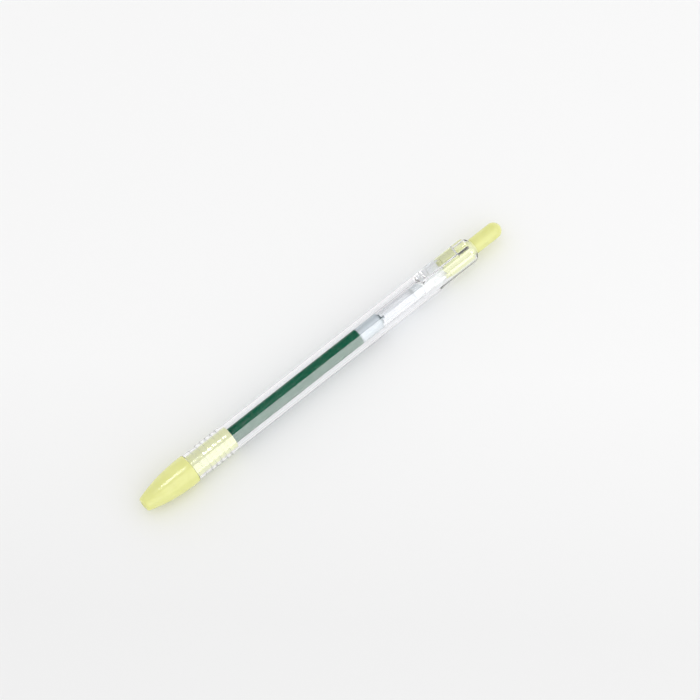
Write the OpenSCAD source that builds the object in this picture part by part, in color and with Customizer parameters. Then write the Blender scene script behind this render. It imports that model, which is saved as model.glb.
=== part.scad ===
// Retractable gel pen: clear barrel with a moulded clip and grip rings, screw-on nose cone,
// push button with a rotating cam, and a refill of gel ink that slides forward to write.
// The pen lies along X: the point is at -X, the button at +X, and the clip is on top (+Z).
// Stations are measured along the pen from the front face of the nose cone.

/* [Nose cone] */
// Length of the cone that shows ahead of the barrel
cone_l = 19.1; // [15:0.1:24]
// Diameter of the cone where it meets the barrel
cone_d = 10; // [9.8:0.1:12]
// Diameter of the cone's front face
nose_d = 4.7; // [4:0.1:5.8]
// Diameter of the hole that the point comes out of
nose_hole_d = 2.3; // [2.2:0.05:2.6]
// Length of the threaded sleeve that goes into the barrel
sleeve_l = 16.2; // [12:0.1:19]
// Wall of the sleeve
sleeve_wall = 0.9; // [0.6:0.05:1.05]

/* [Thread] */
// Advance of the nose cone for each turn
thread_lead = 2; // [1.6:0.1:2.4]
// Height of the thread above the sleeve
thread_h = 0.22; // [0.15:0.01:0.25]
// Turns of thread on the sleeve
thread_turns = 1.75; // [1:0.25:2]

/* [Barrel] */
// Outside diameter of the barrel
barrel_d = 9.2; // [9:0.1:10.4]
// Length of the barrel, from the seam at the cone to its rear rim
barrel_l = 116.2; // [108:0.1:139.5]
// Wall of the barrel
barrel_wall = 0.6; // [0.5:0.05:0.7]
// Length of the rounded shoulder at the rear
shoulder_l = 3; // [2:0.1:3.2]
// Length of the rear mouth that guides the button
mouth_l = 2; // [1.6:0.1:2.6]
// Length of the thicker collar at the front
collar_l = 2.7; // [1.5:0.1:3]
// How far the collar stands out of the barrel
collar_h = 0.15; // [0.05:0.05:0.3]

/* [Grip] */
// Number of grip rings
grip_rings = 5; // [2:1:6]
// Distance from ring to ring
grip_pitch = 2; // [1.8:0.1:2.4]
// Width of a ring
ring_w = 1.5; // [0.8:0.1:1.6]
// How far a ring stands out of the barrel
ring_h = 0.3; // [0.15:0.05:0.4]
// Radius of a ring's crowned top
ring_crown = 4.5; // [2:0.5:8]
// Plain length between the collar and the first ring
grip_gap = 2.3; // [1:0.1:3]

/* [Clip] */
// Length of the clip
clip_l = 20.7; // [16:0.1:23]
// Width of the clip
clip_w = 3.6; // [2.6:0.1:4.6]
// Thickness of the clip's bar
clip_t = 1.3; // [1:0.1:1.6]
// Gap between the bar and the barrel
clip_gap = 1.4; // [1:0.1:1.8]
// Length of the foot that joins the clip to the barrel
clip_foot_l = 4; // [3:0.1:6]

/* [Button] */
// Diameter of the button
button_d = 5.4; // [5:0.1:5.6]
// Length of the button that shows when the point is in
button_l = 11.3; // [10:0.1:15]
// Length of the skirt inside the barrel
skirt_l = 11.1; // [9:0.1:13]

/* [Refill] */
// Outside diameter of the refill tube
refill_d = 5.4; // [5:0.1:5.6]
// Wall of the refill tube
refill_wall = 0.55; // [0.4:0.05:0.7]
// Diameter of the metal point
point_d = 2; // [1.8:0.05:2]
// Diameter of the ball
ball_d = 0.7; // [0.5:0.05:0.8]
// Length of the ink behind the point holder
ink_l = 64.8; // [20:0.1:70]
// Length of the follower grease
follower_l = 8.4; // [5:0.1:9]

/* [Spring] */
// Wire diameter of the return spring
spring_wire = 0.32; // [0.25:0.01:0.33]
// Active coils of the return spring
spring_coils = 7; // [5:1:7]

/* [Fits] */
// Full travel of the button
travel = 6.4; // [5.5:0.1:6.6]
// Clearance between pieces that slide or turn in each other
slide_fit = 0.1; // [0.08:0.01:0.12]
// Clearance between pieces that are pressed or seated in each other
seat_fit = 0.01; // [0.01:0.005:0.02]

/* [Hidden] */
$fn = 96;
eps = 0.01;

// Clear and coloured finishes, as a glance at the pen shows them
clear = [0.92, 0.95, 0.96, 0.35];
lime = [0.90, 0.92, 0.55];
natural = [0.93, 0.94, 0.93];
metal = [0.72, 0.73, 0.75];
ink_green = [0.03, 0.30, 0.19];

// Driving radii
cone_r = cone_d / 2;
nose_r = nose_d / 2;
barrel_r = barrel_d / 2;
bore_r = barrel_r - barrel_wall;
sleeve_r = bore_r - slide_fit;
sleeve_bore_r = sleeve_r - sleeve_wall;
button_r = button_d / 2;
button_neck_r = button_r - 0.2;
mouth_r = button_r + 1.5 * slide_fit;
refill_r = refill_d / 2;
refill_bore_r = refill_r - refill_wall;
fill_r = refill_bore_r - 2 * seat_fit;
point_r = point_d / 2;
ball_r = ball_d / 2;
wire_r = spring_wire / 2;

// Stations along the pen
seam_gap = 0.05;
pen_l = cone_l + barrel_l + button_l;
barrel_front = cone_l + seam_gap;
barrel_rear = cone_l + barrel_l;
sleeve_end = cone_l + sleeve_l;
shoulder_start = barrel_rear - shoulder_l;
mouth_start = barrel_rear - mouth_l;
grip_start = barrel_front + collar_l + grip_gap;

// Cone: a circular arc that runs flat into its widest stretch
cone_flat_l = 2.1;
ogive_l = cone_l - cone_flat_l;
ogive_rise = cone_r - nose_r;
ogive_r = (ogive_l * ogive_l + ogive_rise * ogive_rise) / (2 * ogive_rise);
cone_edge = 0.35;
nose_edge = 0.3;

// Point and its holder: the ball rests this far inside the nose
ball_inset = 2.6;
ball_s = ball_inset + ball_r;
ball_play = 0.02;
socket_front = ball_s - 0.43 * ball_r;
socket_front_r = ball_r + 0.12;
point_cone_end = 5.6;
point_end = 11.5;
point_bore_r = 0.55 * point_r;
point_bore_s = 4.7;
capillary_r = 0.7 * ball_r;
neck_s = 8.6;
neck_front_r = point_r + 0.25;
neck_r = point_r + 0.6;
flange_s = 16.3;
flange_l = 1;
tube_s = flange_s + flange_l;
holder_end = tube_s + 5.7;
channel_r = 0.75;

// Bores of the cone, from the front: hole, neck bore, spring chamber, tube bore
hole_l = 1.9;
neck_bore_r = neck_r + 2.5 * slide_fit;
spring_r = neck_r + 0.13 + spring_wire;
chamber_s = 6.5;
chamber_r = spring_r + wire_r + 0.24;
tube_bore_s = flange_s - travel - 0.2;

// Spring: closed end coils and evenly spaced active ones
spring_from = chamber_s + wire_r + 0.02;
spring_to = flange_s - wire_r - 0.02;
end_coils = 1;
spring_turns = spring_coils + 2 * end_coils;

// Button: its slimmer neck runs from the skirt through the mouth and shows as a narrow groove behind the rim
button_neck_l = 0.3;

// Rear of the refill
lug_rear = mouth_start - slide_fit;
crown_s = mouth_start - skirt_l - slide_fit;
crown_h = 1;
rotor_rear = crown_s - 0.3;
rotor_fin_l = 3.9;
rotor_flange_l = 1.1;
rotor_flange_s = rotor_rear - 7.3;
plug_flange_l = 0.8;
tube_end = rotor_flange_s - slide_fit - plug_flange_l;
plug_l = 3.4;
vent_r = 1;
ink_s = holder_end + 0.05;
ink_end = ink_s + ink_l;
follower_s = ink_end + 0.05;
follower_end = follower_s + follower_l;
float_r = 1.65;
float_s = follower_end + 0.1;

// Screw: the nose's thread starts here, and the barrel's groove runs on from it to the barrel's open end
thread_s = cone_l + 1.9;
thread_root_w = 0.5;
thread_crest_w = 0.24;
thread_lap = 0.1;
groove_lead_in = (thread_s - barrel_front) / thread_lead + 0.3;

// Cam: four guide lands inside the barrel, four fins on the rotor, eight crown teeth on the button
cam_count = 4;
land_angle = 46;
groove_angle = 360 / cam_count - land_angle;
land_in_r = bore_r - 0.95;
land_rake = 2;
land_s = rotor_rear - travel + 0.3;
crown_r = land_in_r - slide_fit;
crown_bore_r = 1.7;
lug_r = bore_r - 2.5 * slide_fit;
lug_angle = groove_angle - 8;
fin_w = 0.9;
fin_r = bore_r - 2.5 * slide_fit;
fin_turn = 22.5;
hub_r = 2.2;
pilot_r = crown_bore_r - 2 * slide_fit;
cam_phase = 22.5;

// Clip
clip_in_r = barrel_r + clip_gap;
clip_out_r = clip_in_r + clip_t;
clip_rear = barrel_rear - 2.5;
clip_front = clip_rear - clip_l;
clip_foot_gap = 0.1;
bump_r = 1.5;
bump_gap = 0.3;

// Puts what is drawn along +Z, from station 0, onto the pen's axis
module on_axis() translate([-pen_l / 2, 0, cone_r]) rotate([0, 90, 0]) children();

module rod(r, from, to) translate([0, 0, from]) cylinder(h = to - from, r = r);

module taper(r1, r2, from, to) translate([0, 0, from]) cylinder(h = to - from, r1 = r1, r2 = r2);

module ring(r_out, r_in, from, to) {
    difference() {
        rod(r_out, from, to);
        rod(r_in, from - eps, to + eps);
    }
}

// A slice of a ring, centred on an angle
module sector(r_out, r_in, from, to, centre, angle) {
    reach = 2 * r_out;
    translate([0, 0, from]) linear_extrude(height = to - from) rotate(centre) intersection() {
        difference() {
            circle(r_out);
            circle(r_in);
        }
        polygon([[0, 0],
                 [reach * cos(angle / 2), -reach * sin(angle / 2)],
                 [reach * cos(angle / 2), reach * sin(angle / 2)]]);
    }
}

// Height gained along a coil after t turns: end coils lie close, active ones spread evenly
function coil_rise(t, turns, ends, close_pitch, length) =
    let (open_pitch = (length - 2 * ends * close_pitch) / (turns - 2 * ends))
    t < ends ? t * close_pitch
    : t > turns - ends ? length - (turns - t) * close_pitch
    : ends * close_pitch + (t - ends) * open_pitch;

// A round wire wound on a helix between two stations
module coil(r, wire, from, to, turns, ends, steps, sides) {
    count = turns * steps;
    points = [for (i = [0:count]) for (k = [0:sides - 1])
        let (t = i / steps, a = 360 * t, b = 360 * k / sides, reach = r + wire * cos(b),
             rise = coil_rise(t, turns, ends, 2.1 * wire, to - from))
        [reach * cos(a), reach * sin(a), from + rise + wire * sin(b)]];
    walls = [for (i = [0:count - 1]) for (k = [0:sides - 1])
        let (n = (k + 1) % sides)
        [i * sides + k, i * sides + n, (i + 1) * sides + n, (i + 1) * sides + k]];
    front = [for (k = [0:sides - 1]) sides - 1 - k];
    back = [for (k = [0:sides - 1]) count * sides + k];
    polyhedron(points = points, faces = concat([front, back], walls), convexity = 10);
}

// A thread of trapezoid section that fades at both ends: half widths at its root and its crest.
// lead_in is how many turns it starts ahead of the thread station.
module thread(r_root, r_crest, root_w, crest_w, lead_in, turns) {
    steps = 32;
    fade = steps / 6;
    count = floor((turns + lead_in) * steps);
    points = [for (i = [0:count])
        let (t = i / steps - lead_in, a = 360 * t, z = thread_s + thread_lead * t,
             rise = min(1, i / fade, (count - i) / fade),
             crest = r_root + max(0.02, rise * (r_crest - r_root)))
        each [[r_root * cos(a), r_root * sin(a), z - root_w],
              [crest * cos(a), crest * sin(a), z - crest_w],
              [crest * cos(a), crest * sin(a), z + crest_w],
              [r_root * cos(a), r_root * sin(a), z + root_w]]];
    walls = [for (i = [0:count - 1]) for (k = [0:3])
        let (n = (k + 1) % 4)
        [i * 4 + k, i * 4 + n, (i + 1) * 4 + n, (i + 1) * 4 + k]];
    polyhedron(points = points, faces = concat([[3, 2, 1, 0], [for (k = [0:3]) count * 4 + k]], walls),
               convexity = 10);
}

// Half section of one crowned grip ring, from the axis out
module grip_ring(start) {
    intersection() {
        translate([barrel_r + ring_h - ring_crown, start + ring_w / 2]) circle(ring_crown, $fn = 360);
        translate([0, start]) square([barrel_r + ring_h, ring_w]);
    }
}

module barrel_outline() {
    difference() {
        union() {
            translate([0, barrel_front]) square([barrel_r, shoulder_start - barrel_front]);
            translate([0, barrel_front]) square([barrel_r + collar_h, collar_l]);
            for (i = [0:grip_rings - 1]) grip_ring(grip_start + i * grip_pitch);
            translate([0, shoulder_start]) square([barrel_r - shoulder_l, shoulder_l]);
            intersection() {
                translate([barrel_r - shoulder_l, shoulder_start]) circle(shoulder_l);
                translate([0, shoulder_start]) square([barrel_r, shoulder_l]);
            }
        }
        translate([-eps, barrel_front - eps]) square([bore_r + eps, mouth_start - barrel_front + eps]);
        translate([-eps, mouth_start - eps]) square([mouth_r + eps, mouth_l + 2 * eps]);
    }
}

// Guide lands with slanted front ends, moulded inside the barrel
module guide_lands() {
    slant = atan(land_rake / (2 * bore_r * sin(land_angle / 2)));
    for (i = [0:cam_count - 1]) rotate(cam_phase + i * 360 / cam_count) difference() {
        sector(bore_r + 2 * eps, land_in_r, land_s, mouth_start + eps, 0, land_angle);
        translate([0, 0, land_s - 2 * land_rake]) rotate([slant, 0, 0])
            translate([0, -2 * bore_r, -land_rake]) cube([2 * bore_r, 4 * bore_r, 4 * land_rake]);
    }
}

module barrel() color(clear) on_axis() {
    difference() {
        union() {
            rotate_extrude() barrel_outline();
            guide_lands();
        }
        thread(bore_r - thread_lap, bore_r + thread_h, thread_root_w + slide_fit, thread_crest_w + slide_fit,
               groove_lead_in, thread_turns + 0.25);
    }
}

module clip_outline() {
    translate([clip_front, clip_in_r]) square([clip_l, clip_t]);
    translate([clip_rear - clip_foot_l, barrel_r + clip_foot_gap]) square([clip_foot_l, clip_gap]);
    intersection() {
        translate([clip_front + bump_r + 0.6, barrel_r + bump_gap + bump_r]) circle(bump_r);
        translate([clip_front, barrel_r]) square([clip_l, clip_gap + clip_t / 2]);
    }
}

// The bar ends in a round tip, seen from above
module clip_plan() {
    translate([clip_front + clip_w / 2, 0]) circle(d = clip_w);
    translate([clip_front + clip_w / 2, -clip_w / 2]) square([clip_l - clip_w / 2, clip_w]);
}

module clip() color(clear) translate([-pen_l / 2, 0, cone_r]) intersection() {
    rotate([90, 0, 0]) linear_extrude(height = 2 * clip_w, center = true) clip_outline();
    linear_extrude(height = clip_out_r + 1) clip_plan();
}

module cone_outline() {
    intersection() {
        union() {
            translate([cone_r - ogive_r, ogive_l]) circle(ogive_r, $fn = 720);
            translate([0, ogive_l]) square([cone_r, cone_flat_l]);
        }
        polygon([[0, 0], [nose_r - nose_edge, 0], [nose_r + nose_edge / 2, nose_edge], [cone_r, nose_edge],
                 [cone_r, cone_l - cone_edge], [cone_r - cone_edge, cone_l], [0, cone_l]]);
    }
}

module nose_cone() color(lime) on_axis() {
    difference() {
        union() {
            rotate_extrude() cone_outline();
            rod(sleeve_r, cone_l - 1, sleeve_end);
            thread(sleeve_r - thread_lap, bore_r + thread_h - slide_fit, thread_root_w, thread_crest_w,
                   0, thread_turns);
        }
        rod(nose_hole_d / 2, -1, hole_l + 1);
        rod(neck_bore_r, hole_l, chamber_s + eps);
        rod(chamber_r, chamber_s, tube_bore_s + eps);
        rod(sleeve_bore_r, tube_bore_s, sleeve_end + 1);
    }
}

module return_spring() color(metal) on_axis()
    coil(spring_r, wire_r, spring_from, spring_to, spring_turns, end_coils, 16, 6);

module crown_notches() {
    pitch = 180 / cam_count;
    half_w = crown_r * sin(pitch / 2);
    for (i = [0:2 * cam_count - 1]) rotate([0, 0, i * pitch]) rotate([90, 0, 90])
        linear_extrude(height = crown_r + 1) polygon([[-half_w, crown_s - eps], [half_w, crown_s - eps],
                                                      [half_w * 0.8, crown_s + crown_h]]);
}

module button() color(lime) on_axis() {
    difference() {
        union() {
            rod(crown_r, crown_s, lug_rear);
            rod(button_neck_r, crown_s, barrel_rear + button_neck_l);
            rod(button_r, barrel_rear + button_neck_l, pen_l - button_r);
            translate([0, 0, pen_l - button_r]) sphere(button_r);
            for (i = [0:cam_count - 1])
                sector(lug_r, crown_r - 0.5, crown_s + crown_h + 0.5, lug_rear,
                       cam_phase + (i + 0.5) * 360 / cam_count, lug_angle);
        }
        rod(crown_bore_r, crown_s - 1, pen_l - button_r);
        crown_notches();
    }
}

module rotor_fins() {
    for (i = [0:cam_count - 1])
        rotate([0, 0, cam_phase + (i + 0.5) * 360 / cam_count - fin_turn / 2])
            rotate([90, 0, 90]) translate([0, 0, hub_r / 2]) linear_extrude(height = fin_r - hub_r / 2)
                polygon([[-fin_w / 2, rotor_rear - rotor_fin_l], [fin_w / 2, rotor_rear - rotor_fin_l],
                         [fin_w / 2, rotor_rear], [-fin_w / 2, rotor_rear - fin_w]]);
}

module rotor() color(natural) on_axis() {
    intersection() {
        union() {
            rotor_fins();
            rod(vent_r - slide_fit, rotor_flange_s - 2.8, rotor_flange_s + eps);
            rod(crown_r - 0.35, rotor_flange_s, rotor_flange_s + rotor_flange_l);
            rod(hub_r, rotor_flange_s, rotor_rear - 0.6);
            rod(pilot_r, rotor_flange_s, rotor_rear + 4.5);
        }
        rod(fin_r, 0, pen_l);
    }
}

module refill_tube() color(clear) on_axis()
    ring(refill_r, refill_bore_r, tube_s, tube_end);

module tip_holder() color(natural) on_axis() {
    difference() {
        union() {
            taper(neck_front_r, neck_r, neck_s, neck_s + 2);
            rod(neck_r, neck_s + 2, flange_s + eps);
            rod(refill_r, flange_s, tube_s - seat_fit);
            rod(refill_bore_r - seat_fit, flange_s, holder_end);
        }
        rod(point_r + seat_fit, neck_s - 1, point_end + seat_fit);
        rod(channel_r, neck_s, holder_end + 1);
    }
}

module tip_point() color(metal) on_axis() {
    difference() {
        union() {
            taper(socket_front_r, point_r, socket_front, point_cone_end);
            rod(point_r, point_cone_end - eps, point_end);
        }
        translate([0, 0, ball_s]) sphere(ball_r + ball_play);
        rod(capillary_r, ball_s, point_bore_s + eps);
        rod(point_bore_r, point_bore_s, point_end + 1);
    }
}

module ball() color(metal) on_axis() translate([0, 0, ball_s]) sphere(ball_r);

module ball_spring() color(metal) on_axis()
    coil(point_bore_r - 0.14, 0.07, point_bore_s + 0.1, point_end - 0.1, 12, 1, 10, 5);

module ink() color(ink_green) on_axis() {
    rod(channel_r - 2 * seat_fit, point_end + 0.1, ink_s + eps);
    rod(fill_r, ink_s, ink_end);
}

module follower() color([0.75, 0.82, 0.85]) on_axis() rod(fill_r, follower_s, follower_end);

module float() color([0.45, 0.52, 0.55]) on_axis() {
    rod(float_r, float_s, float_s + 0.6);
    rod(float_r / 4, float_s, float_s + 1.8);
}

module tail_plug() color(natural) on_axis() {
    difference() {
        union() {
            rod(refill_bore_r - seat_fit, tube_end - plug_l, tube_end + eps);
            rod(refill_r, tube_end + seat_fit, tube_end + plug_flange_l);
        }
        rod(vent_r, tube_end - plug_l - 1, rotor_flange_s);
    }
}

barrel();
clip();
nose_cone();
return_spring();
button();
rotor();
refill_tube();
tip_holder();
tip_point();
ball();
ball_spring();
ink();
follower();
float();
tail_plug();
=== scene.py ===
import math

import bmesh
import bpy
from mathutils import Matrix, Vector


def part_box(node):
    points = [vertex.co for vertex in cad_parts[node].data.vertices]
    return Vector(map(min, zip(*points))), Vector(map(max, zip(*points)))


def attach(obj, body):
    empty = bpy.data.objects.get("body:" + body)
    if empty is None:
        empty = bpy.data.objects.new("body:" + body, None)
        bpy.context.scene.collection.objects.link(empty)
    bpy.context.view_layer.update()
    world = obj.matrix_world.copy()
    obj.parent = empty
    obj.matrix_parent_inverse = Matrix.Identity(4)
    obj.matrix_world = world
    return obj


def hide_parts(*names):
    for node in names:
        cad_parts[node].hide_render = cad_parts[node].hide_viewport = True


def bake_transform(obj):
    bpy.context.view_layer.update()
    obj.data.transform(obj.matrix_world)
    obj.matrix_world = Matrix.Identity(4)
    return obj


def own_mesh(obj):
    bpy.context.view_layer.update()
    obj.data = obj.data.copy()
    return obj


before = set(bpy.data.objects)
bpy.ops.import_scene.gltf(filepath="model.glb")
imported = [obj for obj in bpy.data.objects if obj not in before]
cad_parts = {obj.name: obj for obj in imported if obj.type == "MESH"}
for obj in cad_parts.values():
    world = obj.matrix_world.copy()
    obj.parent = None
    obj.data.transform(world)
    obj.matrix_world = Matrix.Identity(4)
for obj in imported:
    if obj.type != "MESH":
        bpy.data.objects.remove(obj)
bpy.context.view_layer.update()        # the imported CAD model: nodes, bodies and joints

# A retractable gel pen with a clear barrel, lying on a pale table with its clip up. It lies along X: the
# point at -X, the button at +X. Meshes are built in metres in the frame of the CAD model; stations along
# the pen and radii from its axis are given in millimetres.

MM = 0.001
PEN_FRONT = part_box("nose_cone")[0].x
AXIS_Z = sum(corner.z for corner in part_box("refill_tube")) / 2


# ---- Camera
# A long lens far off, above the pen, so that the pen hardly tapers with distance. Turn and tilt lean the
# view from straight down towards -X and -Y, roll makes the pen climb to the right, and the slide moves the
# camera across and up, in metres.
VIEW_TURN = math.radians(10.6)
VIEW_TILT = math.radians(23.5)
VIEW_ROLL = math.radians(-42.73)
VIEW_DISTANCE = 1.2403
VIEW_SLIDE = (0.00844, 0.00445)

to_camera = Vector((-math.sin(VIEW_TURN), -math.cos(VIEW_TURN) * math.sin(VIEW_TILT),
                    math.cos(VIEW_TURN) * math.cos(VIEW_TILT))).normalized()
level = Vector((0, 1, 0)).cross(to_camera).normalized()
upright = to_camera.cross(level)
right = math.cos(VIEW_ROLL) * level + math.sin(VIEW_ROLL) * upright
up = to_camera.cross(right)
camera_data = bpy.data.cameras.new("camera")
camera_data.lens = 200
camera_data.clip_start = 0.05
camera = bpy.data.objects.new("camera", camera_data)
camera.matrix_world = Matrix((right, up, to_camera)).transposed().to_4x4()
camera.location = (Vector((0, 0, AXIS_Z)) + VIEW_DISTANCE * to_camera
                   + VIEW_SLIDE[0] * right + VIEW_SLIDE[1] * up)
bpy.context.scene.collection.objects.link(camera)
bpy.context.scene.camera = camera
bpy.context.scene.view_settings.view_transform = "Standard"


# ---- Table, room and lamps
# The pen lies on uncoated white card in a pale room. A wide window on the near side lights it softly.
# Gloss and clear plastic also mirror that window brightly, and a small lamp almost overhead; to them
# alone the room is dark overhead, which gives clear edges their outline.
def colour(code):
    """An sRGB hex code as a linear colour with alpha."""
    parts = [int(code[i:i + 2], 16) / 255 for i in (0, 2, 4)]
    return [c / 12.92 if c <= 0.04045 else ((c + 0.055) / 1.055) ** 2.4 for c in parts] + [1.0]


def node(tree, kind, links=(), inputs=(), **settings):
    """Adds a node: its settings, its inputs by name or number, and links as (from socket, to input)."""
    made = tree.nodes.new(kind)
    for name, value in settings.items():
        setattr(made, name, value)
    for name, value in dict(inputs).items():
        made.inputs[name].default_value = value
    for source, name in links:
        tree.links.new(source, made.inputs[name])
    return made


def material(name):
    """A new material with only an output node."""
    made = bpy.data.materials.new(name)
    made.use_nodes = True
    made.node_tree.nodes.clear()
    return made, made.node_tree


# Matt white with a faint tooth, with painted shade: a touch greyer towards the point and the near side,
# standing in for the light falling off across the table.
# Seen through clear plastic it glows a little, which keeps the clear walls as pale as the card.
card, tree = material("uncoated_card")
where = node(tree, "ShaderNodeTexCoord").outputs["Object"]
tooth = node(tree, "ShaderNodeTexNoise", [(where, "Vector")], {"Scale": 900.0, "Detail": 4.0})
grain = node(tree, "ShaderNodeBump", [(tooth.outputs["Fac"], "Height")],
             {"Strength": 0.05, "Distance": 0.0001})
# Painted shade: the card's colour darkens from F6F6F6 to EEEEEE towards the point and the near side.
split = node(tree, "ShaderNodeSeparateXYZ", [(where, "Vector")])
sweep = node(tree, "ShaderNodeMath", [(split.outputs["X"], 0), (split.outputs["Y"], 1)], operation="ADD")
painted_shade_ramp = node(tree, "ShaderNodeMapRange", [(sweep.outputs[0], "Value")], {"From Min": -0.12, "From Max": 0.0})
painted_shade_tone = node(tree, "ShaderNodeMix", [(painted_shade_ramp.outputs[0], "Factor")], {6: colour("EEEEEE"), 7: colour("F6F6F6")},
            data_type="RGBA")
surface = node(tree, "ShaderNodeBsdfPrincipled",
               [(painted_shade_tone.outputs[2], "Base Color"), (grain.outputs["Normal"], "Normal")],
               {"Roughness": 0.9, "Specular IOR Level": 0.2})
glow = node(tree, "ShaderNodeEmission", inputs={"Color": colour("FFFFFF"), "Strength": 1.0})
path = node(tree, "ShaderNodeLightPath")
share = node(tree, "ShaderNodeMath", [(path.outputs["Is Transmission Ray"], 0)], {1: 0.6},
             operation="MULTIPLY")
choice = node(tree, "ShaderNodeMixShader",
              [(share.outputs[0], 0), (surface.outputs[0], 1), (glow.outputs[0], 2)])
node(tree, "ShaderNodeOutputMaterial", [(choice.outputs[0], "Surface")])

bpy.ops.mesh.primitive_plane_add(size=6, location=(0, 0, 0))
table = bpy.context.object
table.name = "table_card"
table.data.materials.append(card)

room = bpy.data.worlds.new("room")
bpy.context.scene.world = room
room.use_nodes = True
tree = room.node_tree
tree.nodes.clear()
path = node(tree, "ShaderNodeLightPath")
lit = node(tree, "ShaderNodeBackground", inputs={"Color": colour("F8F8F8"), "Strength": 1.02})
dim = node(tree, "ShaderNodeBackground", inputs={"Color": colour("F8F8F8"), "Strength": 0.015})
seen = node(tree, "ShaderNodeBackground", inputs={"Color": colour("F7F7F8"), "Strength": 1.0})
mirrored = node(tree, "ShaderNodeMath",
                [(path.outputs["Is Glossy Ray"], 0), (path.outputs["Is Transmission Ray"], 1)],
                operation="MAXIMUM")
direction = node(tree, "ShaderNodeTexCoord").outputs["Generated"]
compass = node(tree, "ShaderNodeSeparateXYZ", [(direction, "Vector")])
sideways = node(tree, "ShaderNodeMath", [(compass.outputs["X"], 0)], operation="ABSOLUTE")
off_ends = node(tree, "ShaderNodeMapRange", [(sideways.outputs[0], "Value")],
                {"From Min": 0.4, "From Max": 0.55})
low_down = node(tree, "ShaderNodeMapRange", [(compass.outputs["Z"], "Value")],
                {"From Min": 0.3, "From Max": 0.1})
pale = node(tree, "ShaderNodeMath", [(off_ends.outputs[0], 0), (low_down.outputs[0], 1)],
            operation="MAXIMUM")
walls = node(tree, "ShaderNodeMixShader", [(pale.outputs[0], 0), (dim.outputs[0], 1), (lit.outputs[0], 2)])
around = node(tree, "ShaderNodeMixShader",
              [(mirrored.outputs[0], 0), (lit.outputs[0], 1), (walls.outputs[0], 2)])
choice = node(tree, "ShaderNodeMixShader", [(path.outputs["Is Camera Ray"], 0), (around.outputs[0], 1),
                                            (seen.outputs[0], 2)])
node(tree, "ShaderNodeOutputWorld", [(choice.outputs[0], "Surface")])


def lamp(name, tilt, along, distance, width, height, radiance, diffuse=True):
    """A rectangular soft lamp facing the pen: tilt is from straight up towards -Y, along is towards +X."""
    data = bpy.data.lights.new(name, "AREA")
    data.shape = "RECTANGLE"
    data.size = width
    data.size_y = height
    data.energy = radiance * width * height * math.pi
    holder = bpy.data.objects.new(name, data)
    towards = Vector((math.sin(along), -math.sin(tilt) * math.cos(along), math.cos(tilt) * math.cos(along)))
    side = Vector((1, 0, 0))
    side = (side - side.dot(towards) * towards).normalized()
    holder.matrix_world = Matrix((side, towards.cross(side), towards)).transposed().to_4x4()
    holder.location = towards * distance
    holder.visible_diffuse = diffuse
    bpy.context.scene.collection.objects.link(holder)


lamp("window_softbox", math.radians(56), math.radians(15), 0.9, 1.3, 1.2, 0.3)
lamp("window_mirrored", math.radians(56), 0, 0.9, 1.3, 1.2, 2.3, diffuse=False)
lamp("overhead_lamp", math.radians(-5.5), math.radians(-6.3), 0.93, 0.34, 0.3, 14.0, diffuse=False)


# ---- Barrel and clip
# One clear, glossy injection moulding in polystyrene: a thin tube with a collar and five crowned grip
# rings over the screw thread, guide lands for the cam inside its rear, and a springy clip on top.
BORE = 4.0
BARREL = 4.6
COLLAR = (19.15, 21.85, 4.75)
RINGS = [24.15 + 2 * i for i in range(5)]
RING_WIDTH, RING_HEIGHT, RING_CROWN = 1.5, 0.3, 4.5
SHOULDER, SHOULDER_ROUND = 132.3, 3.0
MOUTH = (133.3, 2.85)
LAND_FRONT, LAND_SLANT, LAND_RISE, LAND_HEIGHT = 118.8, 2.24, 1.0, 0.35
LAND_COUNT, FIRST_LAND, LAND_HALF_ANGLE, LAND_FLANK = 4, 22.5, 24, 14


def place(s, r, angle):
    """The point at a station, a radius and an angle in degrees round the axis, from straight down."""
    turn = math.radians(angle)
    return Vector((PEN_FRONT + s * MM, r * MM * math.sin(turn), AXIS_Z - r * MM * math.cos(turn)))


def piece(name, shape, surface, crease=35):
    """Closes a bmesh into an object: faces outwards, smooth but for edges sharper than crease degrees."""
    bmesh.ops.remove_doubles(shape, verts=shape.verts, dist=0.0002 * MM)
    bmesh.ops.recalc_face_normals(shape, faces=shape.faces)
    for face in shape.faces:
        face.smooth = True
    for edge in shape.edges:
        edge.smooth = edge.calc_face_angle(math.pi) < math.radians(crease)
    mesh = bpy.data.meshes.new(name)
    shape.to_mesh(mesh)
    shape.free()
    mesh.materials.append(surface)
    made = bpy.data.objects.new(name, mesh)
    bpy.context.scene.collection.objects.link(made)
    return made


def skin(rows):
    """A closed bmesh through rows of points: rows join in a ring unless both ends are single points."""
    shape = bmesh.new()
    rings = [[shape.verts.new(point) for point in row] for row in rows]
    closed = len(rings[0]) > 1
    for a, b in zip(rings, rings[1:] + rings[:1] if closed else rings[1:]):
        count = max(len(a), len(b))
        for k in range(count):
            corners = [a[k % len(a)], a[(k + 1) % len(a)], b[(k + 1) % len(b)], b[k % len(b)]]
            shape.faces.new(list(dict.fromkeys(corners)))
    return shape


def turned(outline, sides=160, relief=lambda s, r, angle: r):
    """A turned bmesh from (station, radius) points; relief may change a point's radius by its angle."""
    angles = [360 * k / sides for k in range(sides)]
    return skin([[place(s, relief(s, r, angle), angle) for angle in (angles if r else [0])]
                 for s, r in outline])


def steps(start, end, size):
    """Evenly spaced values from start to end, both included, about size apart."""
    count = max(1, round(abs(end - start) / size))
    return [start + (end - start) * i / count for i in range(count + 1)]


def barrel_relief(s, r, angle):
    """Raises the four slant-ended guide lands from the bore."""
    if r != BORE:
        return r
    apart = 360 / LAND_COUNT
    local = (angle - FIRST_LAND + apart / 2) % apart - apart / 2
    front = LAND_FRONT + LAND_SLANT * math.sin(math.radians(local))
    rise = min(1, max(0, (s - front) / LAND_RISE))
    flank = min(1, max(0, (LAND_HALF_ANGLE - abs(local)) / LAND_FLANK))
    return r - LAND_HEIGHT * rise * flank


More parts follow.
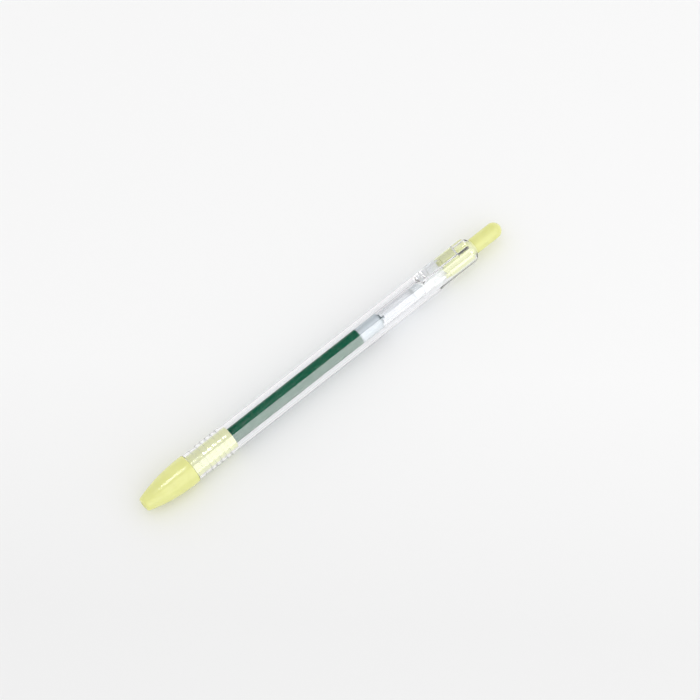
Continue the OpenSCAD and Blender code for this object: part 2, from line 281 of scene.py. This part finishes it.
outline = [(COLLAR[0], BARREL - 0.05), (COLLAR[0], COLLAR[2] - 0.1), (COLLAR[0] + 0.1, COLLAR[2]),
           (COLLAR[1] - 0.1, COLLAR[2]), (COLLAR[1], COLLAR[2] - 0.1), (COLLAR[1], BARREL)]
for start in RINGS:
    middle = start + RING_WIDTH / 2
    crown = [(s, BARREL + RING_HEIGHT - RING_CROWN + math.sqrt(RING_CROWN ** 2 - (s - middle) ** 2))
             for s in steps(start + 0.05, start + RING_WIDTH - 0.05, 0.14)]
    outline += [(start, BARREL), (start, crown[0][1] - 0.05), *crown,
                (start + RING_WIDTH, crown[0][1] - 0.05), (start + RING_WIDTH, BARREL)]
outline += [(s, BARREL) for s in steps(RINGS[-1] + 3, SHOULDER, 8)]
rim = math.degrees(math.acos((MOUTH[1] + SHOULDER_ROUND - BARREL + 0.04) / SHOULDER_ROUND))
outline += [(SHOULDER + SHOULDER_ROUND * math.sin(math.radians(a)),
             BARREL - SHOULDER_ROUND * (1 - math.cos(math.radians(a)))) for a in steps(4, rim, 4)]
outline += [(outline[-1][0], MOUTH[1]), MOUTH]
outline += [(s, BORE) for s in [MOUTH[0], 127, *steps(120.9, 117.1, 0.15), 100, 60, COLLAR[0]]]
shell = turned(outline, sides=192, relief=barrel_relief)

CLIP = (112.1, 132.8)
CLIP_HALF_WIDTH, CLIP_UNDER, CLIP_TOP = 1.8, 6.0, 7.3
CLIP_BUMP = (114.2, 6.4, 1.5)
FOOT_START, FOOT_FILLET, FOOT_SUNK = 128.8, 0.9, 4.12


def clip_section(s):
    """One cross section of the clip: a bar with rounded corners that drops to the barrel at its foot."""
    tip = CLIP[0] + CLIP_HALF_WIDTH - s
    half = math.sqrt(max(0.02, CLIP_HALF_WIDTH ** 2 - max(0, tip) ** 2))
    under, top = CLIP_UNDER, CLIP_TOP
    if abs(s - CLIP_BUMP[0]) < CLIP_BUMP[2]:
        under = min(under, CLIP_BUMP[1] - math.sqrt(CLIP_BUMP[2] ** 2 - (s - CLIP_BUMP[0]) ** 2))
    if FOOT_START - FOOT_FILLET < s <= FOOT_START:
        run = s - FOOT_START + FOOT_FILLET
        under = CLIP_UNDER - FOOT_FILLET + math.sqrt(FOOT_FILLET ** 2 - run ** 2)
    sunk = s > FOOT_START
    for end, depth in ((CLIP[0], 0.5), (CLIP[1], 1.0)):
        short = depth - abs(s - end)
        if short > 0:
            drop = depth - math.sqrt(max(0, depth ** 2 - short ** 2))
            top -= drop
            under += 0 if sunk else 0.5 * drop
    corner = min(0.4, 0.45 * half, 0.45 * (top - under))
    points = []
    corners = ((half - corner, top - corner, 0), (corner - half, top - corner, 90),
               (corner - half, under + corner, 180), (half - corner, under + corner, 270))
    for centre_y, centre_r, first in corners:
        for a in steps(first, first + 90, 15):
            y = centre_y + corner * math.cos(math.radians(a))
            r = centre_r + corner * math.sin(math.radians(a))
            if sunk and first >= 180:
                r = math.sqrt(FOOT_SUNK ** 2 - y ** 2)
            points.append(Vector((PEN_FRONT + s * MM, y * MM, AXIS_Z + r * MM)))
    return points


stations = [*steps(CLIP[0], CLIP[0] + 0.6, 0.06), *steps(CLIP[0] + 0.7, 116, 0.12), 120, 124,
            *steps(FOOT_START - FOOT_FILLET, FOOT_START, 0.09), FOOT_START + 0.01, 130.3,
            *steps(131.8, CLIP[1], 0.1)]
rows = [clip_section(s) for s in stations]
rows = [[sum(rows[0], Vector()) / len(rows[0])], *rows, [sum(rows[-1], Vector()) / len(rows[-1])]]

# Water-clear and glossy, with a faint ripple along the flow of the moulding. Shadow and diffuse light pass
# straight through, which keeps the barrel's shadow pale.
polystyrene, tree = material("clear_polystyrene_moulded")
where = node(tree, "ShaderNodeTexCoord").outputs["Object"]
along = node(tree, "ShaderNodeMapping", [(where, "Vector")], {"Scale": (60.0, 500.0, 500.0)})
flow = node(tree, "ShaderNodeTexNoise", [(along.outputs[0], "Vector")], {"Scale": 1.0, "Detail": 2.0})
ripple = node(tree, "ShaderNodeBump", [(flow.outputs["Fac"], "Height")],
              {"Strength": 0.01, "Distance": 0.00002})
gloss = node(tree, "ShaderNodeMapRange", [(flow.outputs["Fac"], "Value")], {"To Min": 0.03, "To Max": 0.06})
clear = node(tree, "ShaderNodeBsdfPrincipled",
             [(ripple.outputs[0], "Normal"), (gloss.outputs[0], "Roughness")],
             {"Base Color": colour("FDFDFE"), "IOR": 1.59, "Transmission Weight": 1.0})
through = node(tree, "ShaderNodeBsdfTransparent", inputs={"Color": colour("FBFCFD")})
path = node(tree, "ShaderNodeLightPath")
open_to = node(tree, "ShaderNodeMath",
               [(path.outputs["Is Shadow Ray"], 0), (path.outputs["Is Diffuse Ray"], 1)],
               operation="MAXIMUM")
choice = node(tree, "ShaderNodeMixShader", [(open_to.outputs[0], 0), (clear.outputs[0], 1),
                                            (through.outputs[0], 2)])
node(tree, "ShaderNodeOutputMaterial", [(choice.outputs[0], "Surface")])

barrel = piece("barrel_and_clip", shell, polystyrene)
clip = piece("clip_bar", skin(rows), polystyrene)
union = barrel.modifiers.new("clip", "BOOLEAN")
union.operation = "UNION"
union.solver = "EXACT"
union.object = clip
joined = bpy.data.meshes.new_from_object(barrel.evaluated_get(bpy.context.evaluated_depsgraph_get()))
barrel.modifiers.clear()
bpy.data.objects.remove(clip)
bpy.data.objects.remove(barrel)
shape = bmesh.new()
shape.from_mesh(joined)
barrel = piece("barrel_and_clip_clear", shape, polystyrene)
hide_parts("barrel", "clip")
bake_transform(barrel)


# ---- Nose cone
# Lime polypropylene, moulded glossy and a little translucent. It screws into the barrel by a sleeve
# with a round-topped thread, and holds the return spring in its stepped bore.
NOSE, CONE_END, CONE_FLAT = 2.35, 19.1, 17.0
CONE = 5.0
SLEEVE, SLEEVE_BORE, SLEEVE_END = 3.9, 3.0, 35.3
belly = (CONE_FLAT ** 2 + (CONE - NOSE) ** 2) / (2 * (CONE - NOSE))
ogive = [(s, CONE - belly + math.sqrt(belly ** 2 - (CONE_FLAT - s) ** 2)) for s in steps(0.3, CONE_FLAT, 0.6)]
outline = [(0, 1.3), (0, NOSE - 0.3), (0.08, NOSE - 0.12), *ogive, (18.7, CONE), (18.9, CONE - 0.05),
           (19.05, CONE - 0.2), (CONE_END, CONE - 0.35), (CONE_END, SLEEVE), (35.1, SLEEVE),
           (SLEEVE_END, 3.75), (SLEEVE_END, SLEEVE_BORE), (9.7, SLEEVE_BORE), (9.7, 2.45), (6.5, 2.45),
           (6.5, 1.85), (1.9, 1.85), (1.9, 1.15), (0.15, 1.15)]

# A soft yellow-green with a mild sheen, into which light sinks a little. Where it lies inside the clear
# barrel it is painted paler, a painted veil standing in for the barrel's reflections over the sleeve and the
# skirt.
lime, tree = material("lime_polypropylene_moulded")
where = node(tree, "ShaderNodeTexCoord").outputs["Object"]
cloud = node(tree, "ShaderNodeTexNoise", [(where, "Vector")], {"Scale": 250.0, "Detail": 3.0})
tint = node(tree, "ShaderNodeValToRGB", [(cloud.outputs["Fac"], "Fac")])
tint.color_ramp.elements[0].position = 0.3
tint.color_ramp.elements[0].color = colour("E1E296")
tint.color_ramp.elements[1].position = 0.7
tint.color_ramp.elements[1].color = colour("E7E89E")
station = node(tree, "ShaderNodeSeparateXYZ", [(where, "Vector")]).outputs["X"]
# Painted reflection: lime between the cone's end and just behind the barrel's mouth is painted paler, as if
# veiled by the clear barrel.
behind = node(tree, "ShaderNodeMath", [(station, 0)], {1: PEN_FRONT + 19.2 * MM}, operation="GREATER_THAN")
ahead = node(tree, "ShaderNodeMath", [(station, 0)], {1: PEN_FRONT + 135.4 * MM}, operation="LESS_THAN")
painted_veil_inside_barrel = node(tree, "ShaderNodeMath", [(behind.outputs[0], 0), (ahead.outputs[0], 1)], operation="MULTIPLY")
shown = node(tree, "ShaderNodeMix", [(painted_veil_inside_barrel.outputs[0], "Factor"), (tint.outputs["Color"], 6)],
             {7: colour("F0F1C2")}, data_type="RGBA")
skin_grain = node(tree, "ShaderNodeTexNoise", [(where, "Vector")], {"Scale": 500.0, "Detail": 1.0})
ripple = node(tree, "ShaderNodeBump", [(skin_grain.outputs["Fac"], "Height")],
              {"Strength": 0.02, "Distance": 0.00001})
gloss = node(tree, "ShaderNodeMapRange", [(skin_grain.outputs["Fac"], "Value")],
             {"To Min": 0.15, "To Max": 0.19})
surface = node(tree, "ShaderNodeBsdfPrincipled",
               [(shown.outputs[2], "Base Color"), (ripple.outputs[0], "Normal"),
                (gloss.outputs[0], "Roughness")],
               {"IOR": 1.49, "Specular IOR Level": 0.3, "Subsurface Weight": 0.35,
                "Subsurface Radius": (1.0, 1.0, 0.5), "Subsurface Scale": 0.001})
node(tree, "ShaderNodeOutputMaterial", [(surface.outputs[0], "Surface")])

nose = piece("nose_cone_lime", turned(outline), lime)
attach(nose, "nose")
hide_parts("nose_cone")


# ---- Wound pieces: the thread of the nose, the return spring and the little spring behind the ball
# One recipe winds a round section on a helix round the axis. Ends may lie closer than the middle, as a
# compression spring's dead coils do.
winder = bpy.data.node_groups.new("wound_section", "GeometryNodeTree")
winder.interface.new_socket("Geometry", in_out="OUTPUT", socket_type="NodeSocketGeometry")
WINDER_INPUTS = {}
for label in ("Start", "Length", "Turns", "Dead Turns", "Dead Pitch", "Radius", "Section", "Axis Height"):
    socket = winder.interface.new_socket(label, in_out="INPUT", socket_type="NodeSocketFloat")
    WINDER_INPUTS[label] = socket.identifier
for label, kind in (("Steps", "NodeSocketInt"), ("Material", "NodeSocketMaterial")):
    socket = winder.interface.new_socket(label, in_out="INPUT", socket_type=kind)
    WINDER_INPUTS[label] = socket.identifier
given = node(winder, "NodeGroupInput").outputs
index = node(winder, "GeometryNodeInputIndex").outputs[0]
share = node(winder, "ShaderNodeMath", [(index, 0), (given["Steps"], 1)], operation="DIVIDE").outputs[0]
turn = node(winder, "ShaderNodeMath", [(share, 0), (given["Turns"], 1)], operation="MULTIPLY").outputs[0]
angle = node(winder, "ShaderNodeMath", [(turn, 0)], {1: 2 * math.pi}, operation="MULTIPLY").outputs[0]
dead_both = node(winder, "ShaderNodeMath", [(given["Dead Turns"], 0)], {1: 2.0},
                 operation="MULTIPLY").outputs[0]
live = node(winder, "ShaderNodeMath", [(given["Turns"], 0), (dead_both, 1)], operation="SUBTRACT").outputs[0]
dead_run = node(winder, "ShaderNodeMath", [(given["Turns"], 0), (given["Dead Pitch"], 1)],
                operation="MULTIPLY").outputs[0]
spare = node(winder, "ShaderNodeMath", [(given["Length"], 0), (dead_run, 1)], operation="SUBTRACT").outputs[0]
spread = node(winder, "ShaderNodeMath", [(spare, 0), (live, 1)], operation="DIVIDE").outputs[0]
past = node(winder, "ShaderNodeMath", [(turn, 0), (given["Dead Turns"], 1)], operation="SUBTRACT").outputs[0]
inside = node(winder, "ShaderNodeClamp", [(past, "Value"), (live, "Max")]).outputs[0]
opened = node(winder, "ShaderNodeMath", [(inside, 0), (spread, 1)], operation="MULTIPLY").outputs[0]
closed_in = node(winder, "ShaderNodeMath", [(turn, 0), (given["Dead Pitch"], 1), (opened, 2)],
                 operation="MULTIPLY_ADD").outputs[0]
x = node(winder, "ShaderNodeMath", [(closed_in, 0), (given["Start"], 1)], operation="ADD").outputs[0]
sine = node(winder, "ShaderNodeMath", [(angle, 0)], operation="SINE").outputs[0]
cosine = node(winder, "ShaderNodeMath", [(angle, 0)], operation="COSINE").outputs[0]
y = node(winder, "ShaderNodeMath", [(sine, 0), (given["Radius"], 1)], operation="MULTIPLY").outputs[0]
fall = node(winder, "ShaderNodeMath", [(cosine, 0), (given["Radius"], 1)], operation="MULTIPLY").outputs[0]
z = node(winder, "ShaderNodeMath", [(given["Axis Height"], 0), (fall, 1)], operation="SUBTRACT").outputs[0]
spot = node(winder, "ShaderNodeCombineXYZ", [(x, 0), (y, 1), (z, 2)]).outputs[0]
points = node(winder, "ShaderNodeMath", [(given["Steps"], 0)], {1: 1.0}, operation="ADD").outputs[0]
line = node(winder, "GeometryNodeCurvePrimitiveLine")
cut = node(winder, "GeometryNodeResampleCurve", [(line.outputs[0], "Curve"), (points, "Count")])
helix = node(winder, "GeometryNodeSetPosition", [(cut.outputs[0], "Geometry"), (spot, "Position")])
round_section = node(winder, "GeometryNodeCurvePrimitiveCircle", [(given["Section"], "Radius")],
                     {"Resolution": 12})
wire = node(winder, "GeometryNodeCurveToMesh",
            [(helix.outputs[0], "Curve"), (round_section.outputs[0], "Profile Curve")], {"Fill Caps": True})
plain = node(winder, "GeometryNodeRealizeInstances", [(wire.outputs[0], "Geometry")])
clad = node(winder, "GeometryNodeSetMaterial",
            [(plain.outputs[0], "Geometry"), (given["Material"], "Material")])
node(winder, "NodeGroupOutput", [(clad.outputs[0], "Geometry")])


def made_by(tree, name, values, source=None):
    """A plain mesh object from a Geometry Nodes tree with its inputs set, and its faces smooth."""
    mesh = source.data.copy() if source else bpy.data.meshes.new(name + "_seed")
    seed = bpy.data.objects.new(name + "_seed", mesh)
    bpy.context.scene.collection.objects.link(seed)
    modifier = seed.modifiers.new(name, "NODES")
    modifier.node_group = tree
    for identifier, value in values.items():
        modifier[identifier] = value
    bpy.context.view_layer.update()
    result = bpy.data.meshes.new_from_object(seed.evaluated_get(bpy.context.evaluated_depsgraph_get()))
    bpy.data.objects.remove(seed)
    result.name = name
    result.shade_smooth()
    made = bpy.data.objects.new(name, result)
    bpy.context.scene.collection.objects.link(made)
    return made


def wound(name, start, length, turns, dead_turns, dead_pitch, radius, section, surface):
    """A wound piece, from sizes in millimetres."""
    sizes = {"Start": PEN_FRONT + start * MM, "Length": length * MM, "Turns": turns, "Dead Turns": dead_turns,
             "Dead Pitch": dead_pitch * MM, "Radius": radius * MM, "Section": section * MM,
             "Axis Height": AXIS_Z, "Steps": round(32 * turns), "Material": surface}
    return made_by(winder, name, {WINDER_INPUTS[label]: value for label, value in sizes.items()})


THREAD_START, THREAD_LEAD, THREAD_TURNS = 21.0, 2.0, 1.75
thread = wound("nose_thread", THREAD_START, THREAD_LEAD * THREAD_TURNS, THREAD_TURNS, 0.0, THREAD_LEAD,
               3.49, 0.5, lime)
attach(thread, "nose")

# Bright steel wire, its gleam broken up by fine die marks.
drawn_wire, tree = material("stainless_spring_wire_drawn")
where = node(tree, "ShaderNodeTexCoord").outputs["Object"]
die_marks = node(tree, "ShaderNodeTexNoise", [(where, "Vector")], {"Scale": 6000.0, "Detail": 2.0})
gloss = node(tree, "ShaderNodeMapRange", [(die_marks.outputs["Fac"], "Value")],
             {"To Min": 0.2, "To Max": 0.4})
surface = node(tree, "ShaderNodeBsdfPrincipled", [(gloss.outputs[0], "Roughness")],
               {"Base Color": colour("CACACC"), "Metallic": 1.0})
node(tree, "ShaderNodeOutputMaterial", [(surface.outputs[0], "Surface")])

spring = wound("return_spring_wound", 6.68, 9.44, 9.0, 1.0, 0.336, 2.05, 0.16, drawn_wire)
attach(spring, "spring")
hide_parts("return_spring")
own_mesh(spring)

ball_spring = wound("ball_spring_wound", 4.8, 6.6, 12.0, 1.0, 0.147, 0.41, 0.07, drawn_wire)
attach(ball_spring, "refill")
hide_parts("ball_spring")


# ---- Button
# The same lime polypropylene: a domed push end, a slimmer neck, and a skirt inside the barrel with
# crown teeth for the cam and four lugs that slide between the guide lands.
def dress(name, surface):
    """Gives a CAD node its material and slot."""
    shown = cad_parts[name]
    shown.data.materials.clear()
    shown.data.materials.append(surface)


dress("button", lime)


# ---- Cam rotor, point holder and tail plug
# Small mouldings in natural polypropylene. The rotor turns loosely between button and refill; the holder
# and the plug close the two ends of the refill tube.
# Off-white and waxy with a satin skin, into which light sinks.
natural, tree = material("natural_polypropylene_moulded")
where = node(tree, "ShaderNodeTexCoord").outputs["Object"]
cloud = node(tree, "ShaderNodeTexNoise", [(where, "Vector")], {"Scale": 400.0, "Detail": 3.0})
tint = node(tree, "ShaderNodeValToRGB", [(cloud.outputs["Fac"], "Fac")])
tint.color_ramp.elements[0].color = colour("ECEDEA")
tint.color_ramp.elements[1].color = colour("F4F4F2")
ripple = node(tree, "ShaderNodeBump", [(cloud.outputs["Fac"], "Height")],
              {"Strength": 0.2, "Distance": 0.00003})
surface = node(tree, "ShaderNodeBsdfPrincipled", [(tint.outputs["Color"], "Base Color"),
                                                  (ripple.outputs[0], "Normal")],
               {"IOR": 1.49, "Roughness": 0.4, "Subsurface Weight": 0.5, "Subsurface Radius": (1.0, 1.0, 0.9),
                "Subsurface Scale": 0.0015})
node(tree, "ShaderNodeOutputMaterial", [(surface.outputs[0], "Surface")])
for name in ("rotor", "tip_holder", "tail_plug"):
    dress(name, natural)


# ---- Refill tube
# A thin tube of clear polypropylene, extruded and cut to length. It holds the ink and the grease, and is
# closed by the point holder in front and by the tail plug behind.
TUBE = (17.3, 113.6)
TUBE_OUT, TUBE_BORE = 2.7, 2.15
outline = [(TUBE[0], TUBE_BORE), *[(s, TUBE_OUT) for s in steps(*TUBE, 8)],
           *[(s, TUBE_BORE) for s in steps(TUBE[1], TUBE[0], 8)][:-1]]

# Clear but softer than the barrel, with faint die lines along its length.
extruded, tree = material("clear_polypropylene_extruded")
where = node(tree, "ShaderNodeTexCoord").outputs["Object"]
along = node(tree, "ShaderNodeMapping", [(where, "Vector")], {"Scale": (20.0, 2500.0, 2500.0)})
die_lines = node(tree, "ShaderNodeTexNoise", [(along.outputs[0], "Vector")], {"Scale": 1.0, "Detail": 2.0})
ripple = node(tree, "ShaderNodeBump", [(die_lines.outputs["Fac"], "Height")],
              {"Strength": 0.02, "Distance": 0.00002})
gloss = node(tree, "ShaderNodeMapRange", [(die_lines.outputs["Fac"], "Value")],
             {"To Min": 0.06, "To Max": 0.14})
clear = node(tree, "ShaderNodeBsdfPrincipled",
             [(ripple.outputs[0], "Normal"), (gloss.outputs[0], "Roughness")],
             {"Base Color": colour("FAFBFC"), "IOR": 1.49, "Transmission Weight": 1.0})
through = node(tree, "ShaderNodeBsdfTransparent", inputs={"Color": colour("FAFBFC")})
path = node(tree, "ShaderNodeLightPath")
open_to = node(tree, "ShaderNodeMath",
               [(path.outputs["Is Shadow Ray"], 0), (path.outputs["Is Diffuse Ray"], 1)],
               operation="MAXIMUM")
choice = node(tree, "ShaderNodeMixShader", [(open_to.outputs[0], 0), (clear.outputs[0], 1),
                                            (through.outputs[0], 2)])
node(tree, "ShaderNodeOutputMaterial", [(choice.outputs[0], "Surface")])

tube = piece("refill_tube_clear", turned(outline), extruded)
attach(tube, "refill")
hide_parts("refill_tube")


# ---- Ink
# A dark green gel with glitter in it, filled into the tube behind the point holder. It wets the tube, so
# it is drawn a hair wider than the bore.
WET = TUBE_BORE + 0.01
INK = (23.06, 87.85)
outline = [(11.6, 0), (11.6, 0.73), (INK[0], 0.73), (INK[0], WET), *[(s, WET) for s in steps(*INK, 6)][1:-1],
           (INK[1], WET), (INK[1], 0)]

# A deep, slightly clouded green without a gloss of its own.
gel, tree = material("green_gel_ink")
where = node(tree, "ShaderNodeTexCoord").outputs["Object"]
cloud = node(tree, "ShaderNodeTexNoise", [(where, "Vector")], {"Scale": 1500.0, "Detail": 4.0})
tint = node(tree, "ShaderNodeValToRGB", [(cloud.outputs["Fac"], "Fac")])
tint.color_ramp.elements[0].position = 0.35
tint.color_ramp.elements[0].color = colour("00553A")
tint.color_ramp.elements[1].position = 0.7
tint.color_ramp.elements[1].color = colour("006244")
surface = node(tree, "ShaderNodeBsdfPrincipled", [(tint.outputs["Color"], "Base Color")],
               {"IOR": 1.38, "Roughness": 0.35, "Specular IOR Level": 0.0})
node(tree, "ShaderNodeOutputMaterial", [(surface.outputs[0], "Surface")])

ink = piece("ink_gel", turned(outline, sides=96), gel)
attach(ink, "refill")
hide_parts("ink")

# Small pale green flakes on the gel; from the main view they hardly show.
flake, tree = material("pearl_glitter_flake")
where = node(tree, "ShaderNodeTexCoord").outputs["Object"]
play = node(tree, "ShaderNodeTexNoise", [(where, "Vector")], {"Scale": 3000.0})
tint = node(tree, "ShaderNodeValToRGB", [(play.outputs["Fac"], "Fac")])
tint.color_ramp.elements[0].position = 0.35
tint.color_ramp.elements[0].color = colour("5FA07A")
tint.color_ramp.elements[1].position = 0.65
tint.color_ramp.elements[1].color = colour("B4D6BE")
surface = node(tree, "ShaderNodeBsdfPrincipled", [(tint.outputs["Color"], "Base Color")],
               {"Roughness": 0.4, "Specular IOR Level": 0.3})
node(tree, "ShaderNodeOutputMaterial", [(surface.outputs[0], "Surface")])

scatter = bpy.data.node_groups.new("glitter_scatter", "GeometryNodeTree")
scatter.interface.new_socket("Geometry", in_out="OUTPUT", socket_type="NodeSocketGeometry")
SCATTER_INPUTS = {}
for label, kind in (("Geometry", "NodeSocketGeometry"), ("Density", "NodeSocketFloat"),
                    ("Flake Radius", "NodeSocketFloat"), ("Seed", "NodeSocketInt"),
                    ("Material", "NodeSocketMaterial")):
    socket = scatter.interface.new_socket(label, in_out="INPUT", socket_type=kind)
    SCATTER_INPUTS[label] = socket.identifier
given = node(scatter, "NodeGroupInput").outputs
spots = node(scatter, "GeometryNodeDistributePointsOnFaces",
             [(given["Geometry"], "Mesh"), (given["Density"], "Density"), (given["Seed"], "Seed")])
disc = node(scatter, "GeometryNodeMeshCircle", [(given["Flake Radius"], "Radius")], {"Vertices": 6},
            fill_type="NGON")
lean = node(scatter, "FunctionNodeRandomValue", [(given["Seed"], "Seed")],
            {"Min": (-0.35, -0.35, -3.0), "Max": (0.35, 0.35, 3.0)}, data_type="FLOAT_VECTOR")
tilted = node(scatter, "FunctionNodeRotateRotation",
              [(spots.outputs["Rotation"], 0), (lean.outputs["Value"], 1)], rotation_space="LOCAL")
size = node(scatter, "FunctionNodeRandomValue", [(given["Seed"], "Seed")], {"Min": 0.6, "Max": 1.3},
            data_type="FLOAT")
flakes = node(scatter, "GeometryNodeInstanceOnPoints",
              [(spots.outputs["Points"], "Points"), (disc.outputs[0], "Instance"),
               (tilted.outputs[0], "Rotation"), (size.outputs["Value"], "Scale")])
plain = node(scatter, "GeometryNodeRealizeInstances", [(flakes.outputs[0], "Geometry")])
clad = node(scatter, "GeometryNodeSetMaterial",
            [(plain.outputs[0], "Geometry"), (given["Material"], "Material")])
node(scatter, "NodeGroupOutput", [(clad.outputs[0], "Geometry")])

FLAKES_PER_SQUARE_MM = 2.2
FLAKE_RADIUS = 0.11
sizes = {"Density": FLAKES_PER_SQUARE_MM / MM ** 2, "Flake Radius": FLAKE_RADIUS * MM, "Seed": 7,
         "Material": flake}
glitter = made_by(scatter, "ink_glitter",
                  {SCATTER_INPUTS[label]: value for label, value in sizes.items()}, ink)
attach(glitter, "refill")


# ---- Follower grease and float
# A plug of clear, faintly blue grease closes the ink column behind and follows the ink down. A small dark
# moulded float sits behind the grease.
FOLLOWER = (87.9, 96.3)
outline = [(FOLLOWER[0], 0), (FOLLOWER[0], WET), (92, WET), (FOLLOWER[1], WET),
           (FOLLOWER[1] - 0.25, WET * 0.75), (FOLLOWER[1] - 0.4, 0)]

# Hazy, half clear and faintly blue.
grease, tree = material("clear_follower_grease")
where = node(tree, "ShaderNodeTexCoord").outputs["Object"]
haze = node(tree, "ShaderNodeTexNoise", [(where, "Vector")], {"Scale": 900.0, "Detail": 3.0})
tint = node(tree, "ShaderNodeValToRGB", [(haze.outputs["Fac"], "Fac")])
tint.color_ramp.elements[0].color = colour("E4EAEC")
tint.color_ramp.elements[1].color = colour("EDF1F3")
surface = node(tree, "ShaderNodeBsdfPrincipled", [(tint.outputs["Color"], "Base Color")],
               {"IOR": 1.47, "Roughness": 0.25, "Transmission Weight": 0.6})
through = node(tree, "ShaderNodeBsdfTransparent", inputs={"Color": colour("D8E2E6")})
path = node(tree, "ShaderNodeLightPath")
open_to = node(tree, "ShaderNodeMath",
               [(path.outputs["Is Shadow Ray"], 0), (path.outputs["Is Diffuse Ray"], 1)],
               operation="MAXIMUM")
choice = node(tree, "ShaderNodeMixShader", [(open_to.outputs[0], 0), (surface.outputs[0], 1),
                                            (through.outputs[0], 2)])
node(tree, "ShaderNodeOutputMaterial", [(choice.outputs[0], "Surface")])

follower = piece("follower_grease", turned(outline, sides=96), grease)
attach(follower, "refill")
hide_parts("follower")

# Dark blue-grey and slightly glossy, a small dark mark behind the grease.
float_moulding, tree = material("dark_translucent_float")
where = node(tree, "ShaderNodeTexCoord").outputs["Object"]
cloud = node(tree, "ShaderNodeTexNoise", [(where, "Vector")], {"Scale": 1200.0, "Detail": 2.0})
tint = node(tree, "ShaderNodeValToRGB", [(cloud.outputs["Fac"], "Fac")])
tint.color_ramp.elements[0].color = colour("55666D")
tint.color_ramp.elements[1].color = colour("66777E")
surface = node(tree, "ShaderNodeBsdfPrincipled", [(tint.outputs["Color"], "Base Color")],
               {"IOR": 1.49, "Roughness": 0.35})
node(tree, "ShaderNodeOutputMaterial", [(surface.outputs[0], "Surface")])
dress("float", float_moulding)


# ---- Metal point and ball
# A point turned from stainless bar and held in the point holder, with a ground tungsten carbide ball that
# rolls loosely in its socket.
# Bright steel, streaked round the point by fine feed marks.
turned_steel, tree = material("stainless_steel_turned")
where = node(tree, "ShaderNodeTexCoord").outputs["Object"]
along = node(tree, "ShaderNodeMapping", [(where, "Vector")], {"Scale": (12000.0, 200.0, 200.0)})
feed_marks = node(tree, "ShaderNodeTexNoise", [(along.outputs[0], "Vector")], {"Scale": 1.0, "Detail": 1.0})
gloss = node(tree, "ShaderNodeMapRange", [(feed_marks.outputs["Fac"], "Value")],
             {"To Min": 0.18, "To Max": 0.38})
surface = node(tree, "ShaderNodeBsdfPrincipled", [(gloss.outputs[0], "Roughness")],
               {"Base Color": colour("CDCDCE"), "Metallic": 1.0})
node(tree, "ShaderNodeOutputMaterial", [(surface.outputs[0], "Surface")])
dress("tip_point", turned_steel)

# Mid-grey metal with a nearly mirror-like grind.
carbide, tree = material("tungsten_carbide_ground")
where = node(tree, "ShaderNodeTexCoord").outputs["Object"]
grit = node(tree, "ShaderNodeTexNoise", [(where, "Vector")], {"Scale": 20000.0})
gloss = node(tree, "ShaderNodeMapRange", [(grit.outputs["Fac"], "Value")], {"To Min": 0.08, "To Max": 0.16})
surface = node(tree, "ShaderNodeBsdfPrincipled", [(gloss.outputs[0], "Roughness")],
               {"Base Color": colour("A9A9AC"), "Metallic": 1.0})
node(tree, "ShaderNodeOutputMaterial", [(surface.outputs[0], "Surface")])
dress("ball", carbide)
